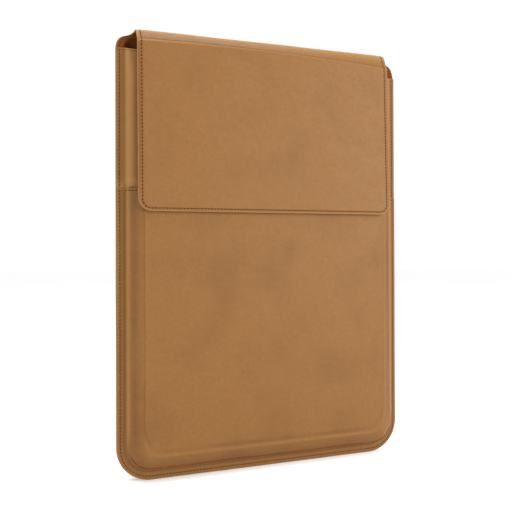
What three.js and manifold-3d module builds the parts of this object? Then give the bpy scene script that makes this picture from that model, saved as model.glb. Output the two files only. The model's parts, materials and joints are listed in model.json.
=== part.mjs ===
// Laptop sleeve: an upright leather envelope for a 13 to 14 inch laptop, standing on its bottom
// seam. A lined compartment opens at the top, a flat accessory pocket lies on the front, and a
// flap with a creased spine folds over the front and is held by magnets.
// Millimetres, +Z up, the front faces -Y, X is the width.
import * as THREE from 'three';
import { mergeVertices } from 'three/addons/utils/BufferGeometryUtils.js';
import Module from 'manifold-3d';

const wasm = await Module();
wasm.setup();

// Body, seen from the front.
const BODY_WIDTH = 244;
const FRONT_HEIGHT = 328;
const SHOULDER_HEIGHT = 338.5;
const POCKET_HEIGHT = 221.5;
const BOTTOM_CORNER = 26;
const SHOULDER_CORNER = 8.5;
const SEAM_FLANGE = 5.5;
const STITCH_INSET = 2.8;
const MOUTH_STITCH = 1.7;

// How far inside the body's edge each panel's formed wall reaches its flat face, and where the
// lining's walls start.
const POCKET_WALL = 20;
const FRONT_WALL = 13;
const BACK_WALL = 11.5;
const POCKET_LINING_SETBACK = 1.5;
const FRONT_LINING_SETBACK = 1.3;
const FRONT_LINING_WALL = 4.6;
const BACK_LINING_WALL = 10.4;

// Edges of the stiffener boards inside the body's edge, and how far boards and linings stop
// below the mouths and the fold.
const FRONT_BOARD_INSET = 15;
const BACK_BOARD_INSET = 14;
const POCKET_BOARD_INSET = 22;
const FRONT_BOARD_DROP = 6;
const BACK_BOARD_DROP = 5;
const POCKET_BOARD_DROP = 2;
const POCKET_LINING_DROP = 6;
const FRONT_LINING_DROP = 3;
const BACK_LINING_DROP = 2.5;

// Material thicknesses and the clearance that is left between two layers.
const LEATHER = 0.9;
const BOARD = 0.8;
const THIN_BOARD = 0.6;
const LINING = 0.5;
const THIN_LINING = 0.4;
const THREAD = 0.25;
const THREAD_WIDTH = 0.6;
const CLEAR = 0.15;
const EDGE_CLEAR = 0.3;

// Depth of the body, measured from the seam plane.
const POCKET_FACE_DEPTH = 12.3;
const POCKET_SPACE = 4.2;
const COMPARTMENT_DEPTH = 12.1;

// Folding panels: fold line height, lengths along the leather and angles from upright.
const FOLD_HEIGHT = 322.5;
const SHOULDER_LENGTH = 27;
const SHOULDER_LEAN = 29;
const SPINE_LENGTH = 15.8;
const SPINE_LEAN = 140.5;
const FLAP_LENGTH = 128.2;
const FLAP_LEAN = 178.4;
const FLAP_WIDTH = 217;
const FLAP_CORNER = 10;
const FLAP_STITCH = 3;
const THREAD_MARGIN = 1.5;
const SHOULDER_THREAD_START = 4;
const SHOULDER_PANEL_WIDTH = 228.4;
const SHOULDER_START_CURVE = 7;
const SHOULDER_START_PULL = 2;
const SHOULDER_NECK_PULL = 1.2;
const SHOULDER_TOP_PULL = 1;
const SHOULDER_TOP_DROP = 0.4;
const SHOULDER_LINING_INSET = 0.5;
const FLAP_LINING_INSET = 0.4;
const FLAP_BOARD_INSET = 6;
const FLAP_BOARD_START = 3;
const FLAP_BOARD_END = 19;

// Magnets in the flap and their steel plates in the pocket's top edge.
const MAGNET_LENGTH = 30;
const MAGNET_HEIGHT = 8;
const MAGNET_LEVEL = 213.5;
const MAGNET_OFFSET = 55;

// Where the side seams' threads end below the top of the panel that they hold.
const NEEDLE_THREAD_DROP = 1;
const BOBBIN_THREAD_DROP = 8;

const radians = THREE.MathUtils.degToRad;

// Depths of the layers that follow from the dimensions above, from the pocket's face inwards.
const pocketBoardDepth = POCKET_FACE_DEPTH - LEATHER - CLEAR;
const pocketLiningDepth = pocketBoardDepth - THIN_BOARD - CLEAR;
const frontFaceDepth = pocketLiningDepth - THIN_LINING - POCKET_SPACE;
const frontBoardDepth = frontFaceDepth - LEATHER - CLEAR;
const frontLiningDepth = frontBoardDepth - BOARD - CLEAR;
const backLiningDepth = COMPARTMENT_DEPTH - frontLiningDepth + 2 * LINING;
const backBoardDepth = backLiningDepth + CLEAR + BOARD;
const backFaceDepth = backBoardDepth + CLEAR + LEATHER;
const flangeDepth = LEATHER + CLEAR / 2;
const pocketFlangeDepth = flangeDepth + CLEAR + LEATHER;

// Where the leather turns: the back crease above the fold, the front crease, the flap's edge.
const backCreaseDepth = backFaceDepth - SHOULDER_LENGTH * Math.sin(radians(SHOULDER_LEAN));
const backCreaseHeight = FOLD_HEIGHT + SHOULDER_LENGTH * Math.cos(radians(SHOULDER_LEAN));
const frontCreaseDepth = SPINE_LENGTH * Math.sin(radians(SPINE_LEAN)) - backCreaseDepth;
const frontCreaseHeight = backCreaseHeight + SPINE_LENGTH * Math.cos(radians(SPINE_LEAN));
const flapFrontDepth = frontCreaseDepth + FLAP_LENGTH * Math.sin(radians(FLAP_LEAN)) + CLEAR + THREAD;

const CORNER_STEPS = 4;
const WALL_STEPS = 4;
const SMALLEST_RADIUS = 1;
const OVERCUT = 1;
const FRONT = -1;
const BACK = 1;

const LEATHER_LOOK = new THREE.MeshStandardMaterial({ color: 0xa9794d, roughness: 0.62, metalness: 0 });
const LINING_LOOK = new THREE.MeshStandardMaterial({ color: 0x5c3a22, roughness: 0.9, metalness: 0 });
const BOARD_LOOK = new THREE.MeshStandardMaterial({ color: 0x8c8172, roughness: 0.85, metalness: 0 });
const THREAD_LOOK = new THREE.MeshStandardMaterial({ color: 0x6e4728, roughness: 0.7, metalness: 0 });
const STEEL_LOOK = new THREE.MeshStandardMaterial({ color: 0xb4b6b8, roughness: 0.35, metalness: 1 });

// ---------------------------------------------------------------- solids

function solidOf(geometry) {
  const bare = geometry.clone();
  bare.deleteAttribute('normal');
  bare.deleteAttribute('uv');
  const merged = mergeVertices(bare);
  const triVerts = new Uint32Array(merged.index.array);
  const vertProperties = new Float32Array(merged.attributes.position.array);
  return new wasm.Manifold(new wasm.Mesh({ numProp: 3, vertProperties, triVerts }));
}

function geometryOf(solid) {
  const mesh = solid.getMesh();
  const geometry = new THREE.BufferGeometry();
  geometry.setAttribute('position', new THREE.BufferAttribute(new Float32Array(mesh.vertProperties), 3));
  geometry.setIndex(new THREE.BufferAttribute(new Uint32Array(mesh.triVerts), 1));
  geometry.computeVertexNormals();
  return geometry;
}

function boxSolid(low, high) {
  const box = new THREE.BoxGeometry(high[0] - low[0], high[1] - low[1], high[2] - low[2]);
  box.translate((low[0] + high[0]) / 2, (low[1] + high[1]) / 2, (low[2] + high[2]) / 2);
  return solidOf(box);
}

// A flat plate: its outline lies in X and Z, and its thickness runs from yLow to yHigh.
function plateSolid(outline, yLow, yHigh) {
  const plate = new THREE.ExtrudeGeometry(outline, {
    depth: yHigh - yLow,
    bevelEnabled: false,
    curveSegments: CORNER_STEPS,
  });
  const across = new THREE.Vector3(1, 0, 0);
  const up = new THREE.Vector3(0, 0, 1);
  const forward = new THREE.Vector3(0, -1, 0);
  plate.applyMatrix4(new THREE.Matrix4().makeBasis(across, up, forward));
  plate.translate(0, yHigh, 0);
  return solidOf(plate);
}

// A prism along X: its section is a list of [y, z] corners.
function prismSolid(corners, width) {
  const section = new THREE.Shape(corners.map(([y, z]) => new THREE.Vector2(y, z)));
  const prism = new THREE.ExtrudeGeometry(section, { depth: width, bevelEnabled: false });
  const depthwise = new THREE.Vector3(0, 1, 0);
  const up = new THREE.Vector3(0, 0, 1);
  const across = new THREE.Vector3(1, 0, 0);
  prism.applyMatrix4(new THREE.Matrix4().makeBasis(depthwise, up, across));
  prism.translate(-width / 2, 0, 0);
  return solidOf(prism);
}

// A closed solid through rings of equal point count, with the first and last ring filled in.
function loftSolid(rings) {
  const count = rings[0].length;
  const last = (rings.length - 1) * count;
  const index = [];
  for (let start = 0; start < last; start += count) {
    for (let i = 0; i < count; i += 1) {
      const here = start + i;
      const next = start + ((i + 1) % count);
      index.push(here, next, here + count);
      index.push(next, next + count, here + count);
    }
  }
  const flatRing = rings[0].map((point) => new THREE.Vector2(point.x, point.z));
  THREE.ShapeUtils.triangulateShape(flatRing, []).forEach(([a, b, c]) => {
    index.push(a, c, b);
    index.push(last + a, last + b, last + c);
  });
  const geometry = new THREE.BufferGeometry().setFromPoints(rings.flat());
  geometry.setIndex(index);
  return solidOf(geometry);
}

// ---------------------------------------------------------------- body panels

// The body's outline at a distance inside its edge: large radii below, small ones at the top.
function bodyOutline(inset, top) {
  const half = BODY_WIDTH / 2 - inset;
  const low = Math.max(BOTTOM_CORNER - inset, SMALLEST_RADIUS);
  const high = Math.max(SHOULDER_CORNER - inset, SMALLEST_RADIUS);
  const shape = new THREE.Shape();
  shape.absarc(half - low, inset + low, low, -Math.PI / 2, 0);
  shape.absarc(half - high, top - inset - high, high, 0, Math.PI / 2);
  shape.absarc(-half + high, top - inset - high, high, Math.PI / 2, Math.PI);
  shape.absarc(-half + low, inset + low, low, Math.PI, 1.5 * Math.PI);
  return shape;
}

// A formed panel's outer surface as [inset, depth] steps from its flat face to its edge.
function wallSteps(flatInset, flatDepth, footInset, footDepth) {
  const steps = [];
  for (let i = WALL_STEPS; i >= 0; i -= 1) {
    const turn = (Math.PI / 2) * (i / WALL_STEPS);
    const inset = footInset + (flatInset - footInset) * (1 - Math.cos(turn));
    const depth = footDepth + (flatDepth - footDepth) * Math.sin(turn);
    steps.push([inset, depth]);
  }
  return steps;
}

// The same surface moved inwards by the material's thickness.
function innerSteps(steps, thickness) {
  return steps.map(([inset, depth], i) => {
    const [insetBefore, depthBefore] = steps[Math.max(i - 1, 0)];
    const [insetAfter, depthAfter] = steps[Math.min(i + 1, steps.length - 1)];
    const run = insetBefore - insetAfter;
    const rise = depthBefore - depthAfter;
    const length = Math.hypot(run, rise);
    const move = i === 0 ? [0, -1] : [rise / length, -run / length];
    return [inset + thickness * move[0], depth + thickness * move[1]];
  });
}

// A thin panel with formed edges, on the front or the back of the seam plane.
function formedPanel(outer, thickness, side, top) {
  const path = [...outer, ...innerSteps(outer, thickness).reverse()];
  const rings = path.map(([inset, depth]) => {
    const points = bodyOutline(inset, top).getPoints(CORNER_STEPS);
    return points.map((point) => new THREE.Vector3(point.x, side * depth, point.y));
  });
  return loftSolid(side === BACK ? rings : rings.reverse());
}

const TALL = SHOULDER_HEIGHT + 60;
const FAR = 200;

function above(height) {
  return boxSolid([-FAR, -FAR, height], [FAR, FAR, 2 * TALL]);
}

const POCKET_STEPS = [
  ...wallSteps(POCKET_WALL, POCKET_FACE_DEPTH, SEAM_FLANGE, pocketFlangeDepth),
  [0, pocketFlangeDepth],
];

function makePocketSkin() {
  return formedPanel(POCKET_STEPS, LEATHER, FRONT, TALL).subtract(above(POCKET_HEIGHT));
}

function makePocketLining() {
  const foot = SEAM_FLANGE + 2 * LEATHER + POCKET_LINING_SETBACK;
  const reach = POCKET_WALL + LEATHER + CLEAR;
  const steps = wallSteps(reach, pocketLiningDepth, foot, frontFaceDepth + THIN_LINING);
  const panel = formedPanel(steps, THIN_LINING, FRONT, TALL);
  return panel.subtract(above(POCKET_HEIGHT - POCKET_LINING_DROP));
}

const FRONT_FOOT = SEAM_FLANGE + LEATHER + EDGE_CLEAR;
const FRONT_STEPS = [...wallSteps(FRONT_WALL, frontFaceDepth, FRONT_FOOT, flangeDepth), [0, flangeDepth]];

function makeFrontSkin() {
  return formedPanel(FRONT_STEPS, LEATHER, FRONT, TALL).subtract(above(FRONT_HEIGHT));
}

function makeFrontLining() {
  const foot = FRONT_FOOT + FRONT_LINING_SETBACK;
  const steps = wallSteps(FRONT_FOOT + FRONT_LINING_WALL, frontLiningDepth, foot, EDGE_CLEAR);
  return formedPanel(steps, LINING, FRONT, TALL).subtract(above(FRONT_HEIGHT - FRONT_LINING_DROP));
}

// The back panel stops at the fold line, and beside the mouth it runs on as two rounded ears.
function makeBackSkin() {
  const steps = [...wallSteps(BACK_WALL, backFaceDepth, SEAM_FLANGE, flangeDepth), [0, flangeDepth]];
  const panel = formedPanel(steps, LEATHER, BACK, SHOULDER_HEIGHT);
  const halfMouth = SHOULDER_PANEL_WIDTH / 2 + EDGE_CLEAR;
  const mouth = boxSolid([-halfMouth, -FAR, -CLEAR], [halfMouth, FAR, FAR]);
  const behind = boxSolid([-FAR, 0, 0], [FAR, FAR, FAR]);
  const foldAt = [0, backFaceDepth, FOLD_HEIGHT];
  return panel
    .subtract(mouth.rotate([SHOULDER_LEAN / 2, 0, 0]).translate(foldAt))
    .subtract(behind.rotate([SHOULDER_LEAN, 0, 0]).translate(foldAt));
}

function makeBackLining() {
  const steps = wallSteps(BACK_LINING_WALL, backLiningDepth, SEAM_FLANGE + LEATHER + CLEAR, EDGE_CLEAR);
  const panel = formedPanel(steps, LINING, BACK, TALL);
  return panel.subtract(above(FOLD_HEIGHT - BACK_LINING_DROP));
}

function boardOutline(inset, top) {
  return bodyOutline(inset, top + inset);
}

function makeFrontBoard() {
  const outline = boardOutline(FRONT_BOARD_INSET, FRONT_HEIGHT - FRONT_BOARD_DROP);
  return plateSolid(outline, -frontBoardDepth, -frontBoardDepth + BOARD);
}

function makeBackBoard() {
  const outline = boardOutline(BACK_BOARD_INSET, FOLD_HEIGHT - BACK_BOARD_DROP);
  return plateSolid(outline, backBoardDepth - BOARD, backBoardDepth);
}

function makePocketBoard() {
  const top = MAGNET_LEVEL - MAGNET_HEIGHT / 2 - POCKET_BOARD_DROP;
  const outline = boardOutline(POCKET_BOARD_INSET, top);
  return plateSolid(outline, -pocketBoardDepth, -pocketBoardDepth + THIN_BOARD);
}

// ---------------------------------------------------------------- folding panels

// One layer of a folding panel, in the panel's own frame: x across, z away from its first
// crease and y = 0 on its outer face. Its ends are mitred by half of each crease's turn.
function foldingLayer(outline, outer, thickness, startTurn, endTurn, length) {
  const start = (depth) => CLEAR + depth * Math.tan(radians(startTurn / 2));
  const end = (depth) => length - CLEAR - depth * Math.tan(radians(endTurn / 2));
  const inner = outer + thickness;
  const section = [
    [-outer, start(outer)],
    [-inner, start(inner)],
    [-inner, end(inner)],
    [-outer, end(outer)],
  ];
  return plateSolid(outline, -inner, -outer).intersect(prismSolid(section, 2 * FAR));
}

const FOLD_TURN = SHOULDER_LEAN;
const BACK_CREASE_TURN = SPINE_LEAN - SHOULDER_LEAN;
const FRONT_CREASE_TURN = FLAP_LEAN - SPINE_LEAN;
const linerDepth = LEATHER + CLEAR + THIN_BOARD + CLEAR;

function rectangleOutline(width, start, end) {
  const shape = new THREE.Shape();
  shape.moveTo(-width / 2, start);
  shape.lineTo(width / 2, start);
  shape.lineTo(width / 2, end);
  shape.lineTo(-width / 2, end);
  return shape;
}

// The shoulder panel widens from the fold to the ears, rounds over and narrows to the spine.
function shoulderOutline(inset) {
  const half = SHOULDER_PANEL_WIDTH / 2 - inset;
  const neck = FLAP_WIDTH / 2 - inset;
  const rise = (SHOULDER_HEIGHT - FOLD_HEIGHT) / Math.cos(radians(SHOULDER_LEAN)) - inset;
  const shape = new THREE.Shape();
  shape.moveTo(-neck, 0);
  shape.lineTo(neck, 0);
  shape.quadraticCurveTo(half, SHOULDER_START_PULL, half, SHOULDER_START_CURVE);
  const pull = neck + SHOULDER_NECK_PULL;
  const top = rise + SHOULDER_TOP_PULL;
  shape.lineTo(half, rise - SHOULDER_TOP_DROP);
  shape.quadraticCurveTo(pull, top, neck, SHOULDER_LENGTH);
  shape.lineTo(-neck, SHOULDER_LENGTH);
  shape.quadraticCurveTo(-pull, top, -half, rise - SHOULDER_TOP_DROP);
  shape.lineTo(-half, SHOULDER_START_CURVE);
  shape.quadraticCurveTo(-half, SHOULDER_START_PULL, -neck, 0);
  return shape;
}

function shoulderLayer(inset, outer, thickness) {
  const outline = shoulderOutline(inset);
  return foldingLayer(outline, outer, thickness, FOLD_TURN, BACK_CREASE_TURN, SHOULDER_LENGTH);
}

function spineLayer(width, outer, thickness) {
  const outline = rectangleOutline(width, 0, SPINE_LENGTH);
  return foldingLayer(outline, outer, thickness, BACK_CREASE_TURN, FRONT_CREASE_TURN, SPINE_LENGTH);
}

function makeShoulderLining() {
  return shoulderLayer(SHOULDER_LINING_INSET, LEATHER + CLEAR, LINING);
}

function makeSpineLining() {
  return spineLayer(FLAP_WIDTH - 2 * SHOULDER_LINING_INSET, LEATHER + CLEAR, LINING);
}

function flapOutline(inset, start = 0) {
  const half = FLAP_WIDTH / 2 - inset;
  const end = FLAP_LENGTH - inset;
  const radius = Math.max(FLAP_CORNER - inset, SMALLEST_RADIUS);
  const shape = new THREE.Shape();
  shape.moveTo(-half, start);
  shape.lineTo(half, start);
  shape.absarc(half - radius, end - radius, radius, 0, Math.PI / 2);
  shape.absarc(-half + radius, end - radius, radius, Math.PI / 2, Math.PI);
  return shape;
}

function flapLayer(inset, outer, thickness) {
  return foldingLayer(flapOutline(inset), outer, thickness, FRONT_CREASE_TURN, 0, FLAP_LENGTH + OVERCUT);
}

function makeFlapBoard() {
  const width = FLAP_WIDTH - 2 * FLAP_BOARD_INSET;
  const outline = rectangleOutline(width, FLAP_BOARD_START, FLAP_LENGTH - FLAP_BOARD_END);
  const outer = LEATHER + CLEAR;
  return plateSolid(outline, -outer - THIN_BOARD, -outer);
}

// ---------------------------------------------------------------- threads

// A band of stitches: the strip between two outlines, cut off above or before a limit.
function stitchBand(outlineAt, inset, yLow, yHigh) {
  const outside = plateSolid(outlineAt(inset), yLow, yHigh);
  const inside = plateSolid(outlineAt(inset + THREAD_WIDTH), yLow - OVERCUT, yHigh + OVERCUT);
  return outside.subtract(inside);
}

// The needle thread runs over the pocket's flange and steps down to the front panel's flange.
function makeSeamNeedleThread() {
  const outlineAt = (inset) => bodyOutline(inset, TALL);
  const pocketY = -pocketFlangeDepth - CLEAR;
  const frontY = -flangeDepth - CLEAR;
  const stepHeight = POCKET_HEIGHT + CLEAR;
  const lower = stitchBand(outlineAt, STITCH_INSET, pocketY - THREAD, pocketY);
  const upper = stitchBand(outlineAt, STITCH_INSET, frontY - THREAD, frontY);
  const step = stitchBand(outlineAt, STITCH_INSET, pocketY - THREAD, frontY);
  const below = boxSolid([-FAR, -FAR, -OVERCUT], [FAR, FAR, stepHeight]);
  return lower
    .subtract(above(stepHeight + THREAD_WIDTH))
    .add(upper.subtract(below).subtract(above(FRONT_HEIGHT - NEEDLE_THREAD_DROP)))
    .add(step.subtract(below).subtract(above(stepHeight + THREAD_WIDTH)));
}

function makeSeamBobbinThread() {
  const outlineAt = (inset) => bodyOutline(inset, TALL);
  const y = flangeDepth + CLEAR;
  const band = stitchBand(outlineAt, STITCH_INSET, y, y + THREAD);
  return band.subtract(above(SHOULDER_HEIGHT - BOBBIN_THREAD_DROP));
}

// The pocket mouth's stitches follow the pocket's formed face from seam to seam.
function makePocketMouthThread() {
  const raised = innerSteps(POCKET_STEPS.slice(0, -1), -CLEAR - THREAD);
  const panel = formedPanel(raised, THREAD, FRONT, TALL);
  const height = POCKET_HEIGHT - MOUTH_STITCH;
  return panel.intersect(boxSolid([-FAR, -FAR, height - THREAD_WIDTH], [FAR, FAR, height]));
}

// A straight run of stitches beside one edge of the shoulder panel or the spine.
function edgeThread(side, start, end) {
  const x = side * (FLAP_WIDTH / 2 - FLAP_STITCH);
  const half = THREAD_WIDTH / 2;
  return boxSolid([x - half, CLEAR, start], [x + half, CLEAR + THREAD, end]);
}

// The flap's stitches run down one side, along the bottom and up the other side.
function makeFlapThread() {
  const outlineAt = (inset) => flapOutline(inset, -FAR);
  const inset = FLAP_STITCH - THREAD_WIDTH / 2;
  const creaseEnd = boxSolid([-FAR, -FAR, -2 * FAR], [FAR, FAR, THREAD_MARGIN]);
  return stitchBand(outlineAt, inset, CLEAR, CLEAR + THREAD).subtract(creaseEnd);
}

// ---------------------------------------------------------------- assembly

function addPiece(group, name, solid, material) {
  const mesh = new THREE.Mesh(geometryOf(solid), material);
  mesh.name = name;
  group.add(mesh);
}

function addPair(group, name, makeSolid, material) {
  addPiece(group, `${name}_left`, makeSolid(-1), material);
  addPiece(group, `${name}_right`, makeSolid(1), material);
}

function keeperPlate(side) {
  const x = side * MAGNET_OFFSET;
  const low = [x - MAGNET_LENGTH / 2, -pocketBoardDepth, MAGNET_LEVEL - MAGNET_HEIGHT / 2];
  return boxSolid(low, [x + MAGNET_LENGTH / 2, low[1] + THIN_BOARD, low[2] + MAGNET_HEIGHT]);
}

function flapMagnet(side) {
  const x = side * MAGNET_OFFSET;
  const fromCrease = (frontCreaseHeight - MAGNET_LEVEL) / -Math.cos(radians(FLAP_LEAN));
  const low = [x - MAGNET_LENGTH / 2, -LEATHER - CLEAR - THIN_BOARD, fromCrease - MAGNET_HEIGHT / 2];
  return boxSolid(low, [x + MAGNET_LENGTH / 2, low[1] + THIN_BOARD, low[2] + MAGNET_HEIGHT]);
}

function shoulderThread(side) {
  return edgeThread(side, SHOULDER_THREAD_START, SHOULDER_LENGTH - THREAD_MARGIN);
}

function spineThread(side) {
  return edgeThread(side, THREAD_MARGIN, SPINE_LENGTH - THREAD_MARGIN);
}

// The body stands centred on the frame's origin, halfway between its back and the flap.
const sleeve = new THREE.Group();
sleeve.position.y = (flapFrontDepth - backFaceDepth) / 2;
addPiece(sleeve, 'back_skin', makeBackSkin(), LEATHER_LOOK);
addPiece(sleeve, 'back_board', makeBackBoard(), BOARD_LOOK);
addPiece(sleeve, 'back_lining', makeBackLining(), LINING_LOOK);
addPiece(sleeve, 'front_skin', makeFrontSkin(), LEATHER_LOOK);
addPiece(sleeve, 'front_board', makeFrontBoard(), BOARD_LOOK);
addPiece(sleeve, 'front_lining', makeFrontLining(), LINING_LOOK);
addPiece(sleeve, 'pocket_skin', makePocketSkin(), LEATHER_LOOK);
addPiece(sleeve, 'pocket_board', makePocketBoard(), BOARD_LOOK);
addPiece(sleeve, 'pocket_lining', makePocketLining(), LINING_LOOK);
addPair(sleeve, 'keeper_plate', keeperPlate, STEEL_LOOK);
addPiece(sleeve, 'seam_needle_thread', makeSeamNeedleThread(), THREAD_LOOK);
addPiece(sleeve, 'seam_bobbin_thread', makeSeamBobbinThread(), THREAD_LOOK);
addPiece(sleeve, 'pocket_mouth_thread', makePocketMouthThread(), THREAD_LOOK);

const shoulder = new THREE.Group();
shoulder.position.set(0, backFaceDepth, FOLD_HEIGHT);
shoulder.rotation.x = radians(SHOULDER_LEAN);
addPiece(shoulder, 'shoulder_skin', shoulderLayer(0, 0, LEATHER), LEATHER_LOOK);
addPiece(shoulder, 'shoulder_lining', makeShoulderLining(), LINING_LOOK);
addPair(shoulder, 'shoulder_thread', shoulderThread, THREAD_LOOK);
sleeve.add(shoulder);

const spine = new THREE.Group();
spine.position.z = SHOULDER_LENGTH;
spine.rotation.x = radians(BACK_CREASE_TURN);
addPiece(spine, 'spine_skin', spineLayer(FLAP_WIDTH, 0, LEATHER), LEATHER_LOOK);
addPiece(spine, 'spine_lining', makeSpineLining(), LINING_LOOK);
addPair(spine, 'spine_thread', spineThread, THREAD_LOOK);
shoulder.add(spine);

const flap = new THREE.Group();
flap.position.z = SPINE_LENGTH;
flap.rotation.x = radians(FRONT_CREASE_TURN);
addPiece(flap, 'flap_skin', flapLayer(0, 0, LEATHER), LEATHER_LOOK);
addPiece(flap, 'flap_board', makeFlapBoard(), BOARD_LOOK);
addPiece(flap, 'flap_lining', flapLayer(FLAP_LINING_INSET, linerDepth, THIN_LINING), LINING_LOOK);
addPiece(flap, 'flap_thread', makeFlapThread(), THREAD_LOOK);
addPair(flap, 'flap_magnet', flapMagnet, STEEL_LOOK);
spine.add(flap);

export default sleeve;
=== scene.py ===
"""Laptop sleeve in tan leather: the visible skins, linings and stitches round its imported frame.

Shapes are worked out in millimetres from the seam plane, where the front and back panels are
sewn together, and are turned into metres in the frame's axes when a mesh is made.
"""
import json
import math

import bmesh
import bpy
import numpy as np
from mathutils import Matrix, Vector, noise


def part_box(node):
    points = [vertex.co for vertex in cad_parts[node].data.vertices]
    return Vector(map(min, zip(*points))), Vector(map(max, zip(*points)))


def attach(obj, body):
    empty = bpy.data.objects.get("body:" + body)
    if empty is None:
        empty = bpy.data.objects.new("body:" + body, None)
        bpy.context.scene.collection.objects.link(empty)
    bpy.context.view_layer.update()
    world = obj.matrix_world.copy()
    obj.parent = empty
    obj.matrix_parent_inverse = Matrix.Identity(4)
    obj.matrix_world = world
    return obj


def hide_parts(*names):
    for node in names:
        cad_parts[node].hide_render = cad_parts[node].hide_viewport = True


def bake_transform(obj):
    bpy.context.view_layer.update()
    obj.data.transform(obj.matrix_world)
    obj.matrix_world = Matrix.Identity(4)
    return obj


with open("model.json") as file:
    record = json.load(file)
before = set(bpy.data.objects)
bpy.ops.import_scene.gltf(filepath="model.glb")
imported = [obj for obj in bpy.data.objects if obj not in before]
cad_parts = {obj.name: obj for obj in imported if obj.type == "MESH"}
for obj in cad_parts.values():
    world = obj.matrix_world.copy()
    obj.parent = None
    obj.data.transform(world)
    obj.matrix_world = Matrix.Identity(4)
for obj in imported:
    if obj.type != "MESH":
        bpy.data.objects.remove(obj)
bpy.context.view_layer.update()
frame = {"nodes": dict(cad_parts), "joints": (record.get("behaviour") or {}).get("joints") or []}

MM = 0.001


# ------------------------------------------------------------------ places from the frame

def low(node):
    return [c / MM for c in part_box(node)[0]]


def high(node):
    return [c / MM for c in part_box(node)[1]]


def joint_place(name):
    """A joint's depth and height, in millimetres."""
    joint = next(j for j in frame["joints"] if j["name"] == name)
    return joint["pos_m"][1] / MM, joint["pos_m"][2] / MM


SEAM_Y = (low("back_skin")[1] + high("front_skin")[1]) / 2
HALF = high("back_skin")[0]
POCKET_TOP = high("pocket_skin")[2]
FRONT_TOP = high("front_skin")[2]
FRONT_DEPTH = SEAM_Y - low("front_skin")[1]
BACK_DEPTH = high("back_skin")[1] - SEAM_Y
FLAP_HALF = high("flap_skin")[0]
FLAP_END = (SEAM_Y - low("flap_skin")[1], low("flap_skin")[2])

CORNER = 26
FLAP_CORNER = 10
LEATHER = 0.9
LINING = 0.45
SEAM_LAYER = 0.99
STITCH_INSET = 2.8
FLAP_STITCH = 3.3
FLAP_END_STITCH = 2.3
MOUTH_DROP = 1.4
MOUTH_STITCH = 1.7
GROOVE = 0.26
SOFT = 1e-6


# ------------------------------------------------------------------ small mathematics

def smooth(start, end, value):
    t = np.clip((np.asarray(value, float) - start) / (end - start), 0, 1)
    return t * t * (3 - 2 * t)


def ridge(value, centre, width):
    return np.exp(-(((np.asarray(value, float) - centre) / width) ** 2))


def profile(value, points, blur):
    """A polyline through points with its corners rounded over blur on each side."""
    xs, ys = zip(*points)
    taps = (-1, -0.5, 0, 0.5, 1)
    weights = (1, 2, 3, 2, 1)
    total = sum(w * np.interp(value + k * blur, xs, ys) for k, w in zip(taps, weights))
    return total / sum(weights)


def ripple(x, z, size, seed):
    """Soft unevenness from -1 to 1 over areas of about that size."""
    flat_x, flat_z = np.ravel(x), np.ravel(z)
    values = [noise.noise(Vector((a / size, b / size, seed))) for a, b in zip(flat_x, flat_z)]
    return np.array(values).reshape(np.shape(x))


# ------------------------------------------------------------------ the back, spine and flap

FOLD, BACK_CREASE, FRONT_CREASE = (
    (SEAM_Y - y, z) for y, z in map(joint_place, ("shoulder_fold", "back_crease", "front_crease"))
)
CORNERS = [(-BACK_DEPTH, 0), FOLD, BACK_CREASE, FRONT_CREASE, FLAP_END]
TURN_RADIUS = [0, 42, 3.4, 1.7, 0]
STATIONS = [0.0]
HEADINGS = []
for (d0, z0), (d1, z1) in zip(CORNERS, CORNERS[1:]):
    STATIONS.append(STATIONS[-1] + math.hypot(d1 - d0, z1 - z0))
    HEADINGS.append(math.atan2(d1 - d0, z1 - z0))
_, V_FOLD, V_BACK, V_FRONT, V_END = STATIONS
V_SHOULDER_FLAT = V_BACK - 3.6
V_SHOULDER_SPLIT = V_BACK - 6.0
V_SPINE_SPLIT = (V_BACK + V_FRONT) / 2


def course(v):
    """Depth in front of the seam plane and height of the outer face, at v along the sheet."""
    depth = np.interp(v, STATIONS, [c[0] for c in CORNERS])
    height = np.interp(v, STATIONS, [c[1] for c in CORNERS])
    for k in (1, 2, 3):
        before, after = HEADINGS[k - 1], HEADINGS[k]
        reach = TURN_RADIUS[k] * math.tan((after - before) / 2)
        turn = before + (after - before) * np.clip((v - STATIONS[k] + reach) / (2 * reach), 0, 1)
        start_d = CORNERS[k][0] - reach * math.sin(before)
        start_z = CORNERS[k][1] - reach * math.cos(before)
        centre_d = start_d + TURN_RADIUS[k] * math.cos(before)
        centre_z = start_z - TURN_RADIUS[k] * math.sin(before)
        bent = np.abs(v - STATIONS[k]) < reach
        depth = np.where(bent, centre_d - TURN_RADIUS[k] * np.cos(turn), depth)
        height = np.where(bent, centre_z + TURN_RADIUS[k] * np.sin(turn), height)
    return depth, height


SHOULDER_LINE = [
    (V_FOLD + 5.5, HALF), (V_FOLD + 9, HALF - 0.4), (V_FOLD + 12.2, HALF - 1.2), (V_FOLD + 15.2, HALF - 2.8),
    (V_FOLD + 17.1, HALF - 5.0), (V_FOLD + 18.6, HALF - 8.2), (V_FOLD + 20.2, HALF - 11.0),
    (V_FOLD + 22.2, HALF - 12.8), (V_FOLD + 24, FLAP_HALF),
]


def sheet_half(v):
    """Half the width of the one sheet that is back, shoulder, spine and flap."""
    return profile(np.asarray(v, float), SHOULDER_LINE, 0.8)


def rounded_inset(x, v, half, radius):
    """Distance inside an outline with straight sides, a straight lower edge and round corners."""
    ax = np.abs(x)
    inset = np.minimum(half - ax, v)
    corner = radius - np.hypot(ax - (half - radius), v - radius)
    return np.where((ax > half - radius) & (v < radius), corner, inset)


def body_inset(x, v):
    return rounded_inset(x, v, HALF, CORNER)


def sheet_inset(x, v):
    return rounded_inset(x, v, sheet_half(v), CORNER)


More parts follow.
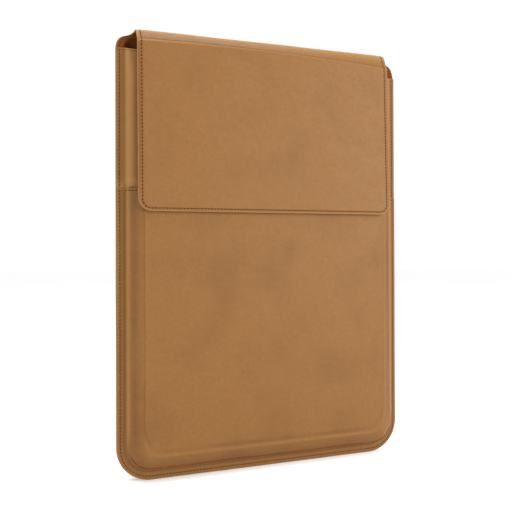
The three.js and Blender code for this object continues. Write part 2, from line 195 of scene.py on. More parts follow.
# The back crease of the closed sleeve: how far it stands ahead and above, how it is tilted, and
# how its ends round over.
CREASE_AHEAD = 0.8
CREASE_SKEW = 0.6
CREASE_RISE = 0.7
FRONT_CREASE_BOW = 1.2
FLAP_SHIFT = 0.8
FLAP_SKEW = 1.7
CREASE_TILT = 1.5
ROUND_END = 0.4
BACK_WALL = [(0, 0), (5.5, 0), (6.2, 0.3), (7.3, 0.62), (8.8, 0.86), (10.4, 0.97), (11.8, 1), (200, 1)]


def sheet_surface(x, v):
    depth, height = course(v)
    side = -SEAM_LAYER + (depth + SEAM_LAYER) * profile(sheet_inset(x, v), BACK_WALL, 0.5)
    flat = smooth(V_FOLD + 15, V_SHOULDER_FLAT, v)
    near = smooth(V_FOLD + 9, V_BACK - 1, v) * smooth(V_FRONT - 1, V_BACK + 3, v)
    droop = ROUND_END * smooth(FLAP_HALF - 12, FLAP_HALF, np.abs(x)) ** 1.5
    ahead = CREASE_AHEAD + CREASE_SKEW * x / FLAP_HALF
    raised = CREASE_RISE + CREASE_TILT * x / FLAP_HALF - droop
    bow = FRONT_CREASE_BOW * (1 - 2 * (x / FLAP_HALF) ** 2)
    bow = bow * smooth(V_FRONT - 10, V_FRONT, v) * smooth(V_FRONT + 50, V_FRONT, v)
    on_flap = smooth(V_BACK - 8, V_BACK + 2, v)
    aside = x + FLAP_SHIFT * (1 - x / FLAP_HALF) / 2 * on_flap
    hang = FLAP_SKEW * (1 - x / FLAP_HALF) / 2 * smooth(V_FRONT, V_END, v)
    forward = side + (depth - side) * flat + ahead * near
    return np.stack([aside, forward, height + raised * near + bow - hang], -1)


def sheet_stitch(v):
    """How far inside its edge the sheet is stitched: a little further on the spine and the flap."""
    return STITCH_INSET + (FLAP_STITCH - STITCH_INSET) * smooth(V_SHOULDER_FLAT - 3, V_SHOULDER_FLAT, v)


def sheet_relief(x, v):
    """How far the outer leather stands above or below its plain course."""
    d = sheet_half(v) - np.abs(x)
    d = np.where(v < CORNER, body_inset(x, v), d)
    from_end = V_END - v
    round_end = rounded_inset(x, from_end, FLAP_HALF, FLAP_CORNER)
    d = np.where(from_end < FLAP_CORNER, round_end, np.minimum(d, from_end))
    on_flap = smooth(V_FRONT + 1, V_FRONT + 4, v)
    to_stitch = d + (FLAP_STITCH - FLAP_END_STITCH) * smooth(14, 3, from_end)
    value = -GROOVE * ridge(to_stitch, sheet_stitch(v), 0.45)
    sides = sheet_half(v) - np.abs(x)
    value = value - 0.15 * (1 - smooth(0.8, 2.6, d)) * on_flap
    value = value - 0.3 * (1 - smooth(0, 7, sides)) ** 1.5 * on_flap * smooth(5, 40, from_end)
    inside = smooth(3.4, 5, d)
    value = value + inside * 0.30 * ridge(v, V_FRONT + 0.6, 0.5)
    value = value - inside * 0.25 * ridge(v, V_FRONT - 1.0, 0.55)
    value = value + 0.16 * ripple(x, v, 34, 3.1) * smooth(4, 14, d)
    return value + 0.06 * ripple(x, v, 11, 7.7)


def sheet_shade(x, v):
    """Painted shade beside the front crease, on the spine's side, and painted highlight (negative) over the
    spine up to the back crease and along the front crease, more on its left.
    """
    left = 0.3 + 0.7 * smooth(-10, -FLAP_HALF, x)
    # top: how far the painted highlight over the spine reaches, strongest at the back crease.
    top = smooth(V_FRONT + 1, V_BACK - 2, v) ** 1.6 * smooth(V_BACK - 9, V_BACK - 2, v)
    # Painted highlight (negative): over the spine and along the front crease.
    painted_highlight = 1.15 * top + 0.6 * left * ridge(v, V_FRONT + 0.7, 0.5)
    # Painted shade: a darker line beside the front crease.
    return 0.22 * ridge(v, V_FRONT - 1.1, 0.6) - painted_highlight


# ------------------------------------------------------------------ the front and the pocket

POCKET_WALL = [
    (-5, 1.35), (0, 1.5), (0.9, 1.95), (5.3, 2.0), (6.0, 3.3), (7.0, 5.0), (8.2, 6.2), (10, 7.7),
    (12.5, 9.4), (16, 11.2), (18.6, 12.0), (19.4, 12.3), (300, 12.3),
]
FRONT_WALL = [
    (-5, 0.99), (5.9, 0.99), (6.6, 2.4), (7.6, 4.3), (9.0, 5.2), (11, 5.7), (13, FRONT_DEPTH),
    (300, FRONT_DEPTH),
]
FREE_WALL = [
    (-5, 0.99), (4.6, 0.99), (5.6, 1.9), (6.6, 3.4), (7.8, 4.8), (9.2, 5.5), (11.5, 5.8), (13.5, FRONT_DEPTH),
    (300, FRONT_DEPTH),
]
PRESSED_CORNER = 34
PRESSED_INSET = 19.1
PRESSED_LIFT = 4.0
WRINKLES = [
    # x, height, direction in degrees, half length, half width, rise
    (88, 12, 97, 6.0, 1.1, 0.50), (93, 10.5, 112, 4.5, 0.9, 0.34), (113.5, 37, 8, 4.2, 1.2, 0.42),
    (112.5, 46, 2, 3.6, 1.0, 0.28), (-86, 11, 84, 5.0, 1.1, 0.30), (-113.5, 34, 172, 4.5, 1.2, 0.30),
    (-106, 15, 52, 5.5, 1.4, 0.22), (104, 17, 131, 5.0, 1.3, 0.34), (-99, 25, 52, 6.0, 1.8, 0.26),
    (-30, 13, 88, 4.0, 1.6, 0.10), (34, 12, 93, 4.0, 1.8, 0.12),
]


def wrinkles(x, z):
    rise = np.zeros_like(x)
    for at_x, at_z, direction, length, width, height in WRINKLES:
        c, s = math.cos(math.radians(direction)), math.sin(math.radians(direction))
        along = (x - at_x) * c + (z - at_z) * s
        across = (z - at_z) * c - (x - at_x) * s
        rise = rise + height * np.exp(-((along / length) ** 2) - ((across / width) ** 2))
    return rise


def pocket_inset(x, v):
    """The inset that the pocket's wall follows: its foot stands further in along the bottom."""
    d = body_inset(x, v)
    return d - 1.5 * smooth(3.2, 5.6, d) * smooth(17, 8, d) * smooth(30, 12, v)


def pocket_surface(x, v):
    return np.stack([x, profile(pocket_inset(x, v), POCKET_WALL, 0.45), v], -1)


def lower(v):
    """1 beside the body's lower edge and 0 further up."""
    return smooth(44, 26, v)


def pressed_line(x, v):
    """Distance from the line pressed round the pocket's flat face, positive inside it."""
    return rounded_inset(x, v, HALF, PRESSED_CORNER) - PRESSED_INSET - PRESSED_LIFT * lower(v)


def pocket_relief(x, v):
    d = body_inset(x, v)
    line = pressed_line(x, v)
    value = -GROOVE * ridge(d, STITCH_INSET, 0.4) + 0.04 * ridge(d, 4.3, 0.9)
    sides = smooth(20, 34, v)
    turn = 1 - 0.7 * smooth(84, 92, np.abs(x)) * smooth(30, 26, v) * smooth(18, 24, v)
    turn = turn * (1 - 0.5 * ridge(v, 36, 8))
    value = value - 0.2 * turn * ridge(line, 0, 0.5 + 0.7 * lower(v))
    value = value + 0.08 * sides * ridge(line, 1.3, 0.8) + 0.22 * lower(v) * turn * ridge(line, -3.4, 1.5)
    value = value + sides * (0.36 * ridge(d, 7.7, 1.1) - 0.2 * ridge(d, 12.4, 2.0))
    value = value - 0.1 * ridge(v, POCKET_TOP - MOUTH_STITCH, 0.45) * smooth(5, 7, d)
    value = value + 1.5 * wrinkles(x, v)
    value = value + 0.2 * ripple(x, v, 30, 1.3) * smooth(4, 12, d)
    return value + 0.07 * ripple(x, v, 9, 5.2)


def pocket_shade(x, v):
    """Painted shade where the leather is formed inwards, and painted highlight (negative) where it stands out.
    """
    d = body_inset(x, v)
    line = pressed_line(x, v)
    low_side = smooth(26, 6, v)
    sides = smooth(20, 40, v)
    right = smooth(-20, 60, x)
    # Painted shade: a dark line at the wall's foot, and a wider band along the bottom.
    foot = 0.3 * ridge(d, 6.0, 0.55) * sides
    foot = foot + 0.36 * ridge(d, 7.6, 1.1) * low_side * smooth(108, 90, np.abs(x))
    # Painted shade down the bottom wall, less on the right.
    wall = 0.2 * low_side * smooth(6, 7.8, d) * smooth(21, 15, d) * (1 - 0.35 * right)
    # Painted shade in the lower corners' walls, less on the right.
    corner = 0.22 * smooth(50, 30, v) * smooth(96, 104, np.abs(x)) * ridge(d, 13, 4) * (1 - 0.6 * right)
    # Painted shade in the valley inside the wall's crest, mostly on the right.
    valley = sides * (0.08 + 0.4 * right) * ridge(d, 12.7, 2.2)
    # Painted shade along the pressed line round the flat face, more on the right.
    pressed = (0.06 + 0.06 * lower(v) + 0.25 * right * sides) * ridge(line, 0, 0.7 + 0.5 * lower(v))
    # Painted shade over the flange, on the left only.
    edge = smooth(6.2, 3.4, d) * 0.12 * (1 - right) * sides
    # Painted shade below the mouth's stitches, and a painted shadow line at the pocket's rim.
    mouth = 0.12 * ridge(v, POCKET_TOP - MOUTH_STITCH, 0.5) + 0.6 * ridge(v, POCKET_TOP, 0.55)
    # Painted highlight along the wall's crest, and just outside the pressed line along the bottom.
    painted_highlight = sides * (0.38 + 0.05 * right) * ridge(d, 8.1, 1.2) + 0.08 * lower(v) * ridge(line, -3.4, 1.1)
    return np.clip(foot + wall + corner + valley + pressed + edge + mouth, 0, 1) - painted_highlight


def mouth_drop(x, v):
    """The front's top edge dips a little between the seams."""
    return MOUTH_DROP * smooth(5, 9, body_inset(x, v)) * smooth(FRONT_TOP - 30, FRONT_TOP, v)


def front_surface(x, v):
    """The front panel; above the pocket its leather is formed more softly and stands further out."""
    d = body_inset(x, v)
    free = smooth(POCKET_TOP - 1, POCKET_TOP + 4, v)
    wall = profile(d, FRONT_WALL, 0.45) * (1 - free) + profile(d, FREE_WALL, 0.5) * free
    side = smooth(6, 12, d) * free + smooth(12, 18, d) * (1 - free)
    full = 2.7 * side * smooth(POCKET_TOP - 8, POCKET_TOP + 2, v) * smooth(-1, 26, FRONT_TOP - v)
    return np.stack([x, wall + full, v - mouth_drop(x, v)], -1)


def front_relief(x, v):
    d = body_inset(x, v)
    value = -GROOVE * ridge(d, STITCH_INSET, 0.4) + 0.1 * ridge(d, 4.3, 0.8)
    value = value + 0.3 * ridge(d, 8.4, 1.4)
    value = value + 0.22 * ripple(x, v, 26, 9.3) * smooth(4, 9, d)
    return value + 0.07 * ripple(x, v, 9, 2.2)


def front_shade(x, v):
    """Painted shade along the stitched edge and at the wall's foot; painted highlight (negative) on the column
    above the pocket and just above the pocket's mouth, mostly on the left.
    """
    d = body_inset(x, v)
    above = smooth(POCKET_TOP + 2, POCKET_TOP + 6, v)
    # Painted shade: a dark line at the wall's foot below the pocket's top, and over the flange.
    foot = 0.35 * ridge(d, 6.3, 0.7) * (1 - above) + 0.14 * smooth(5.6, 4.4, d)
    left = 1 - 0.7 * smooth(-20, 60, x)
    # Painted highlight on the column beside the flap, where the flap shades it, mostly on the left.
    painted_highlight = above * left * (0.35 * ridge(d, 7.6, 1.5) + 0.4 * smooth(6, 8, d) * smooth(30, 20, d))
    # Painted highlight just above the pocket's mouth, mostly on the left.
    above_mouth = smooth(POCKET_TOP - 1, POCKET_TOP, v) * smooth(POCKET_TOP + 9, POCKET_TOP + 1, v)
    return foot - painted_highlight - 0.5 * above_mouth * left


# ------------------------------------------------------------------ grids

def edge_steps(thickness):
    """Distances from an edge that round it off over half its thickness."""
    return [thickness / 2 * (1 - math.cos(math.radians(a))) for a in (0, 25, 50, 70, 90)]


def spread(start, end, step):
    return list(np.linspace(start, end, max(2, int(round(abs(end - start) / step)) + 1)))


def panel_grid(half_at, corner_half, radius, rows, insets, step):
    """Flat points and faces of a panel: rings that follow its sides and lower edge, and a plain middle.

    rows run from the top down to the height of the corners' centres.
    """
    rows, insets = np.array(rows), np.array(insets)
    arc = 14
    columns = np.array(spread(-1, 1, step / (corner_half - radius)))
    points, rim = [], []
    for inset in insets:
        r = radius - inset
        left = [(-(half_at(v) - inset), v) for v in rows]
        angles = np.linspace(math.pi, 1.5 * math.pi, arc + 1)[1:-1]
        bend = [(-(corner_half - radius) + r * math.cos(a), radius + r * math.sin(a)) for a in angles]
        floor = [(c * (corner_half - radius), inset) for c in columns]
        right_bend = [(-x, v) for x, v in reversed(bend)]
        right = [(-x, v) for x, v in reversed(left)]
        ring = left + bend + floor + right_bend + right
        points += ring
        rim += [inset] * len(ring)
    size = len(ring)
    middle = len(points)
    for v in rows:
        reach = half_at(v) - radius
        points += [(c * reach, v) for c in columns]
        rim += [radius] * len(columns)
    faces = []
    for k in range(len(insets) - 1):
        a, b = k * size, (k + 1) * size
        faces += [(a + i, a + i + 1, b + i + 1, b + i) for i in range(size - 1)]
    last = (len(insets) - 1) * size
    n, m = len(rows), len(columns)

    def mid(row, column):
        return middle + row * m + column

    for row in range(n - 1):
        faces += [(mid(row, c), mid(row + 1, c), mid(row + 1, c + 1), mid(row, c + 1)) for c in range(m - 1)]
        faces.append((last + row, last + row + 1, mid(row + 1, 0), mid(row, 0)))
        far = last + size - 1 - row
        faces.append((far - 1, far, mid(row, m - 1), mid(row + 1, m - 1)))
    bottom = n + arc - 1
    faces += [(last + i, last + i + 1, mid(n - 1, 0)) for i in range(n - 1, bottom)]
    faces += [
        (last + bottom + c, last + bottom + c + 1, mid(n - 1, c + 1), mid(n - 1, c)) for c in range(m - 1)
    ]
    start = bottom + m - 1
    faces += [(last + i, last + i + 1, mid(n - 1, m - 1)) for i in range(start, start + arc)]
    top = [k * size for k in range(len(insets))] + [mid(0, c) for c in range(m)]
    top += [k * size + size - 1 for k in reversed(range(len(insets)))]
    return np.array(points), np.array(rim, float), faces, [top]


def strip_grid(half_at, rows, insets, step):
    """Flat points and faces of a plain strip, cut square at both ends."""
    middle = spread(-1, 1, step / (half_at(rows[0]) - insets[-1]))
    points, rim = [], []
    for v in rows:
        half = half_at(v)
        reach = half - insets[-1]
        row = [-(half - i) for i in insets[:-1]] + [c * reach for c in middle]
        row += [half - i for i in insets[-2::-1]]
        points += [(x, v) for x in row]
        rim += [half - abs(x) for x in row]
    m = len(row)
    faces = [
        (r * m + c, r * m + c + 1, (r + 1) * m + c + 1, (r + 1) * m + c)
        for r in range(len(rows) - 1) for c in range(m - 1)
    ]
    ends = [list(range(m)), list(range((len(rows) - 1) * m, len(rows) * m))]
    return np.array(points), np.array(rim), faces, ends


# ------------------------------------------------------------------ meshes

def normals(surface, x, v, facing):
    """Outward directions of a surface; facing is 1 for the front panels and -1 for the long sheet."""
    step = 0.05
    across = surface(x + step, v) - surface(x - step, v)
    along = surface(x, v + step) - surface(x, v - step)
    out = facing * np.cross(along, across)
    return out / np.maximum(np.linalg.norm(out, axis=-1, keepdims=True), SOFT)


def to_frame(points):
    """From width, depth in front of the seam and height, to the frame's metres."""
    placed = np.array(points, float)
    placed[..., 1] = SEAM_Y - placed[..., 1]
    return placed * MM


def make_object(name, vertices, faces, material, attributes=()):
    mesh = bpy.data.meshes.new(name)
    mesh.from_pydata([tuple(p) for p in vertices], [], faces)
    for key, values in attributes:
        mesh.attributes.new(key, "FLOAT", "POINT").data.foreach_set("value", np.asarray(values, np.float32))
    piece = bpy.data.objects.new(name, mesh)
    bpy.context.scene.collection.objects.link(piece)
    mesh.materials.append(material)
    return piece


def weld(piece, distance):
    mesh = piece.data
    shell = bmesh.new()
    shell.from_mesh(mesh)
    bmesh.ops.remove_doubles(shell, verts=shell.verts, dist=distance)
    bmesh.ops.recalc_face_normals(shell, faces=shell.faces)
    for face in shell.faces:
        face.smooth = True
    shell.to_mesh(mesh)
    shell.free()


def thin_piece(name, grid, surface, relief, thickness, facing, material, free_top, shade=None):
    """A closed thin shell over a grid: the outer face, the inner face and rounded free edges."""
    flat, rim, faces, ends = grid
    x, v = flat[:, 0], flat[:, 1]
    edge = np.minimum(rim, free_top - v) if free_top is not None else rim
    edge = np.maximum(edge, 0)
    share = np.clip(edge / (thickness / 2), 0, 1)
    full = np.sqrt(np.maximum(0, 1 - (1 - share) ** 2))[:, None]
    base = surface(x, v)
    out = normals(surface, x, v, facing)
    rise = relief(x, v)[:, None] if relief else 0.0
    half = thickness / 2
    outer = base + out * (rise * full - half * (1 - full))
    inner = base - out * (half * (1 + full))
    count = len(flat)
    shell = list(faces) + [tuple(count + i for i in reversed(face)) for face in faces]
    cuts = ends if free_top is None else ends[1:]
    for cut in cuts:
        shell += [(a, b, count + b, count + a) for a, b in zip(cut, cut[1:])]
    # How deep the stitch grooves sink, kept as a mask for painted shade in them.
    groove_shade = np.clip(-rise / GROOVE, 0, 1) * full if relief else np.zeros((count, 1))
    marks = np.concatenate([groove_shade[:, 0], np.zeros(count)])
    both = to_frame(np.concatenate([outer, inner]))
    attributes = [("edge_mm", np.concatenate([edge, edge])), ("groove_shade", marks)]
    if shade:
        attributes.append(("shade", np.concatenate([shade(x, v), np.zeros(count)])))
    piece = make_object(name, both, shell, material, attributes)
    weld(piece, 2e-6)
    return piece


# ------------------------------------------------------------------ stitches

def seam_run(points, surface, relief, facing, side, thickness=LEATHER):
    """Places and directions along a stitched line; side is 1 outside and -1 on the lining side."""
    flat = np.array(points, float)
    x, v = flat[:, 0], flat[:, 1]
    out = normals(surface, x, v, facing)
    rise = relief(x, v)[:, None] if relief and side > 0 else 0.0
    place = surface(x, v) + out * (rise if side > 0 else -thickness)
    return place, out * side


STITCH_PITCH = 2.7
STITCH_GAP = 0.85
THREAD_RADIUS = 0.34
FLAP_THREAD_RADIUS = 0.42
rng = np.random.default_rng(41)


def sew(name, runs, material, radius=THREAD_RADIUS):
    """One mesh of separate stitches, each sunk at both ends, along runs of places and directions."""
    vertices, faces = [], []
    sides = 7
    shares = (0.0, 0.1, 0.3, 0.5, 0.7, 0.9, 1.0)
    radii = (0.35, 0.8, 1.0, 1.04, 1.0, 0.8, 0.35)
    lifts = (-0.26, -0.04, 0.14, 0.18, 0.14, -0.04, -0.26)
    for place, out in runs:
        length = np.concatenate([[0], np.cumsum(np.linalg.norm(np.diff(place, axis=0), axis=1))])
        count = max(1, int(round(length[-1] / STITCH_PITCH)))
        real = length[-1] / count
        for i in range(count):
            wander = rng.normal(0, 0.045, 2)
            start, end = i * real + STITCH_GAP / 2, (i + 1) * real - STITCH_GAP / 2
            at = [start + (end - start) * s for s in shares]
            centre = np.stack([np.interp(at, length, place[:, k]) for k in range(3)], -1)
            up = np.stack([np.interp(at, length, out[:, k]) for k in range(3)], -1)
            up /= np.linalg.norm(up, axis=1, keepdims=True)
            ahead = centre[-1] - centre[0]
            ahead /= np.linalg.norm(ahead)
            across = np.cross(up, ahead)
            centre = centre + up * np.array(lifts)[:, None]
            centre = centre + across * (np.linspace(-1, 1, len(shares))[:, None] * 0.1 + wander[0])
            first = len(vertices)
            for station, ratio in enumerate(radii):
                for k in range(sides):
                    turn = 2 * math.pi * k / sides
                    r = radius * ratio
                    vertices.append(
                        centre[station] + r * (math.cos(turn) * across[station] + math.sin(turn) * up[station])
                    )
            for station in range(len(shares) - 1):
                a = first + station * sides
                for k in range(sides):
                    n = (k + 1) % sides
                    faces.append((a + k, a + n, a + sides + n, a + sides + k))
            faces.append(tuple(first + k for k in reversed(range(sides))))
            tip = first + (len(shares) - 1) * sides
            faces.append(tuple(tip + k for k in range(sides)))
    piece = make_object(name, to_frame(vertices), faces, material)
    weld(piece, 1e-8)
    return piece


def u_line(half_at, corner_half, radius, top, inset):
    """A line at a distance inside a panel's edge, down one side, along the bottom and up the other."""
    r = radius - inset
    left = [(-(half_at(v) - inset), v) for v in spread(top, radius, 1.0)]
    angles = np.linspace(math.pi, 1.5 * math.pi, 24)[1:-1]
    bend = [(-(corner_half - radius) + r * math.cos(a), radius + r * math.sin(a)) for a in angles]
    floor = [(x, inset) for x in spread(-(corner_half - radius), corner_half - radius, 1.0)]
    return left + bend + floor + [(-x, v) for x, v in reversed(left + bend)]


# ------------------------------------------------------------------ materials

def rgb(r, g, b):
    """Linear colour from the usual 0 to 255 values."""
    def channel(c):
        c = c / 255
        return c / 12.92 if c <= 0.04045 else ((c + 0.055) / 1.055) ** 2.4
    return (channel(r), channel(g), channel(b), 1.0)


class Nodes:
    """A short way to write a material's nodes."""

    def __init__(self, name):
        self.material = bpy.data.materials.new(name)
        self.material.use_nodes = True
        self.tree = self.material.node_tree
        self.shader = self.tree.nodes["Principled BSDF"]
        self.place = self.add("ShaderNodeTexCoord").outputs["Object"]

    def add(self, kind, links=(), **settings):
        node = self.tree.nodes.new(kind)
        for key, value in settings.items():
            setattr(node, key, value)
        for key, value in links:
            self.put(node.inputs[key], value)
        return node

    def put(self, socket, value):
        if isinstance(value, bpy.types.NodeSocket):
            self.tree.links.new(value, socket)
        else:
            socket.default_value = value

    def noise(self, scale, detail=3.0, rough=0.55, place=None):
        links = [("Vector", place or self.place), ("Scale", scale), ("Detail", detail), ("Roughness", rough)]
        return self.add("ShaderNodeTexNoise", links).outputs["Fac"]

    def cells(self, scale, feature="F1"):
        links = [("Vector", self.place), ("Scale", scale)]
        return self.add("ShaderNodeTexVoronoi", links, feature=feature).outputs["Distance"]

    def ramp(self, value, from_low, from_high, to_low=0.0, to_high=1.0):
        links = [("Value", value), ("From Min", from_low), ("From Max", from_high)]
        links += [("To Min", to_low), ("To Max", to_high)]
        return self.add("ShaderNodeMapRange", links).outputs["Result"]

    def mark(self, name):
        return self.add("ShaderNodeAttribute", attribute_name=name).outputs["Fac"]

    def mix(self, share, a, b, way="MIX"):
        node = self.add("ShaderNodeMix", data_type="RGBA", blend_type=way)
        self.put(node.inputs[0], share)
        self.put(node.inputs[6], a)
        self.put(node.inputs[7], b)
        return node.outputs[2]

    def sum(self, a, b, way="ADD"):
        node = self.add("ShaderNodeMath", operation=way)
        self.put(node.inputs[0], a)
        self.put(node.inputs[1], b)
        return node.outputs[0]

    def bump(self, height, strength, distance, below=None):
        links = [("Height", height), ("Strength", strength), ("Distance", distance)]
        if below is not None:
            links.append(("Normal", below))
        return self.add("ShaderNodeBump", links).outputs["Normal"]

    def finish(self, **sockets):
        for key, value in sockets.items():
            self.put(self.shader.inputs[key.replace("_", " ")], value)
        return self.material


# deep and rim are the grain's darker and lighter tones, and also the painted shade and painted highlight.
def leather_material(name, base, dark, light, rim, deep):
    n = Nodes(name)
    blotches = n.ramp(n.noise(36, 3, 0.55), 0.3, 0.7)
    clouds = n.ramp(n.noise(120, 4, 0.6), 0.3, 0.7)
    grain = n.cells(1500, "F1")
    fine = n.noise(4200, 2, 0.5)
    colour = n.mix(blotches, dark, light)
    colour = n.mix(n.ramp(clouds, 0, 1, 0.35, 0.8), colour, base)
    speckle = n.noise(320, 4, 0.6)
    colour = n.mix(n.ramp(speckle, 0.5, 0.3, 0.0, 0.09), colour, deep)
    colour = n.mix(n.ramp(speckle, 0.5, 0.7, 0.0, 0.06), colour, rim)
    colour = n.mix(n.ramp(grain, 0.1, 0.6, 0.0, 0.14), colour, deep)
    # Painted shade in the stitch grooves.
    colour = n.mix(n.sum(n.mark("groove_shade"), 0.34, "MULTIPLY"), colour, deep)
    # Painted shade where the shade mark is positive, painted highlight where it is negative.
    colour = n.mix(n.ramp(n.mark("shade"), 0, 1, 0.0, 0.7), colour, deep)
    colour = n.mix(n.ramp(n.mark("shade"), 0, -1.2, 0.0, 0.9), colour, rim)
    # Painted highlight towards the cut edges, together with the lighter wear of leather edges.
    painted_highlight = n.sum(n.ramp(n.mark("edge_mm"), 0.2, 1.2, 0.36, 0.0), n.ramp(clouds, 0, 1, 0.6, 1.0), "MULTIPLY")
    colour = n.mix(painted_highlight, colour, rim)
    skin = n.bump(grain, 0.16, 0.0002)
    skin = n.bump(fine, 0.10, 0.0001, skin)
    skin = n.bump(speckle, 0.12, 0.0004, skin)
    rough = n.sum(n.ramp(clouds, 0, 1, 0.50, 0.60), n.ramp(grain, 0.1, 0.7, -0.04, 0.06))
    return n.finish(Base_Color=colour, Roughness=rough, Normal=skin, Specular_IOR_Level=0.2)


def lining_material():
    n = Nodes("brown_lining_cloth")
    patches = n.ramp(n.noise(38, 3, 0.6), 0.3, 0.7)
    nap = n.noise(2600, 3, 0.7)
    weave = n.cells(1900, "F1")
    colour = n.mix(patches, rgb(96, 54, 20), rgb(108, 61, 23))
    colour = n.mix(n.ramp(nap, 0.3, 0.7, 0.0, 0.5), colour, rgb(70, 35, 9))
    fuzz = n.bump(n.sum(nap, weave), 0.45, 0.0003)
    rough = n.ramp(nap, 0.3, 0.7, 0.86, 0.97)
    return n.finish(
        Base_Color=colour, Roughness=rough, Normal=fuzz, Specular_IOR_Level=0.1, Sheen_Weight=0.04,
        Sheen_Roughness=0.5,
    )


def thread_material():
    n = Nodes("waxed_brown_thread")
    strand = n.add("ShaderNodeTexWave", [("Vector", n.place), ("Scale", 900.0), ("Distortion", 3.0)])
    strand = strand.outputs["Fac"]
    tone = n.ramp(n.noise(140, 2), 0.3, 0.7)
    colour = n.mix(tone, rgb(72, 36, 7), rgb(84, 44, 9))
    colour = n.mix(n.ramp(strand, 0, 1, 0.0, 0.4), colour, rgb(50, 24, 5))
    twist = n.bump(strand, 0.5, 0.0002)
    rough = n.ramp(strand, 0, 1, 0.55, 0.7)
    return n.finish(Base_Color=colour, Roughness=rough, Normal=twist, Specular_IOR_Level=0.08)


def board_material():
    n = Nodes("grey_stiffener_board")
    fibre = n.noise(900, 5, 0.7)
    specks = n.ramp(n.noise(3000, 2), 0.35, 0.65)
    colour = n.mix(n.ramp(fibre, 0.3, 0.7), rgb(118, 108, 95), rgb(150, 139, 124))
    colour = n.mix(n.ramp(specks, 0, 1, 0, 0.3), colour, rgb(92, 84, 74))
    rough = n.ramp(fibre, 0.3, 0.7, 0.8, 0.93)
    return n.finish(Base_Color=colour, Roughness=rough, Normal=n.bump(fibre, 0.4, 0.0003))


def steel_material():
    n = Nodes("plated_magnet_steel")
    stretch = n.add("ShaderNodeMapping", [("Vector", n.place), ("Scale", (60, 2400, 2400))]).outputs["Vector"]
    scratch = n.noise(1.0, 4, 0.6, stretch)
    haze = n.ramp(n.noise(220, 3), 0.3, 0.7)
    colour = n.mix(haze, rgb(176, 178, 180), rgb(206, 207, 208))
    return n.finish(
        Base_Color=colour, Metallic=1.0, Roughness=n.ramp(scratch, 0.3, 0.7, 0.26, 0.42),
        Normal=n.bump(scratch, 0.2, 0.0001),
    )


LEATHER_SKIN = leather_material(
    "tan_leather_skin", rgb(113, 76, 34), rgb(112, 75, 34), rgb(113, 77, 34), rgb(158, 117, 68),
    rgb(76, 43, 9),
)
LINING_CLOTH = lining_material()
THREAD_WAX = thread_material()
BOARD_GREY = board_material()
STEEL_PLATE = steel_material()


# ------------------------------------------------------------------ building the pieces

def body_half(v):
    return HALF + 0 * np.asarray(v, float)


FINE = edge_steps(LEATHER)
SEAM_INSETS = FINE + [0.8, 1.4, 1.9, 2.2, 2.5, 2.8, 3.1, 3.4, 3.8, 4.3, 4.8, 5.2, 5.6, 6.0]
SEAM_INSETS += [6.5, 7, 7.6, 8.2, 9, 9.8, 10.6, 11.6, 12.6, 13.8, 15, 16.2, 17.3, 18, 18.4, 18.7, 18.95]
SEAM_INSETS += [19.2, 19.45, 19.7, 20, 20.5, 21.3, 22.5, 24]


def top_rows(top, stitch, corner, step):
    """Heights from a mouth's rim down, close together at the rim and round the stitches."""
    near = [top - d for d in FINE + [0.8, 1.3]]
    near += [top - d for d in (stitch - 0.8, stitch - 0.4, stitch, stitch + 0.4, stitch + 0.8, stitch + 1.6)]
    return near + spread(top - stitch - 3, corner, step)


pocket = thin_piece(
    "pocket_leather",
    panel_grid(body_half, HALF, CORNER, top_rows(POCKET_TOP, MOUTH_STITCH, CORNER, 2.0), SEAM_INSETS, 2.4),
    pocket_surface, pocket_relief, LEATHER, 1, LEATHER_SKIN, POCKET_TOP, pocket_shade,
)
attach(pocket, "sleeve")
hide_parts("pocket_skin")

front = thin_piece(
    "front_leather",
    panel_grid(body_half, HALF, CORNER, top_rows(FRONT_TOP, MOUTH_STITCH, CORNER, 2.4), SEAM_INSETS, 4),
    front_surface, front_relief, LEATHER, 1, LEATHER_SKIN, FRONT_TOP, front_shade,
)
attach(front, "sleeve")
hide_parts("front_skin")

# The leather behind is one sheet from the bottom seam to the flap's edge, cut into three pieces
# where no joint moves it.
back_rows = spread(V_SHOULDER_SPLIT, V_FOLD - 6, 0.8) + spread(V_FOLD - 8, CORNER, 4)
back = thin_piece(
    "back_leather",
    panel_grid(sheet_half, HALF, CORNER, back_rows, SEAM_INSETS[:27] + [14, 17, 20, 24], 4),
    sheet_surface, sheet_relief, LEATHER, -1, LEATHER_SKIN, None, sheet_shade,
)
spine = thin_piece(
    "spine_leather",
    strip_grid(sheet_half, spread(V_SHOULDER_SPLIT, V_SPINE_SPLIT, 0.35), SEAM_INSETS[:16] + [9], 3),
    sheet_surface, sheet_relief, LEATHER, -1, LEATHER_SKIN, None, sheet_shade,
)


def flap_surface(x, w):
    return sheet_surface(x, V_END - w)


def flap_relief(x, w):
    return sheet_relief(x, V_END - w)


def flap_shade(x, w):
    return sheet_shade(x, V_END - w)


def flap_half(w):
    return FLAP_HALF + 0 * np.asarray(w, float)


FLAP_TOP = V_END - V_SPINE_SPLIT
CREASE = V_END - V_FRONT
FLAP_ROWS = spread(FLAP_TOP, CREASE + 3, 0.6) + spread(CREASE + 2.8, CREASE - 3, 0.2)
FLAP_ROWS += spread(CREASE - 4, FLAP_CORNER, 2)
FLAP_INSETS = FINE + [0.8, 1.3, 1.8, 2.2, 2.5, 2.8, 3.1, 3.4, 3.9, 4.6, 5.4, 6.2, 7, 8, 9]
flap = thin_piece(
    "flap_leather",
    panel_grid(flap_half, FLAP_HALF, FLAP_CORNER, FLAP_ROWS, FLAP_INSETS, 2.4),
    flap_surface, flap_relief, LEATHER, 1, LEATHER_SKIN, None, flap_shade,
)


def across_fold(piece):
    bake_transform(piece)


def across_back_crease(piece):
    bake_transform(piece)


def across_front_crease(piece):
    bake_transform(piece)


across_fold(back)
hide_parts("back_skin", "shoulder_skin")
across_back_crease(spine)
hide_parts("spine_skin")
across_front_crease(flap)
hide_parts("flap_skin")


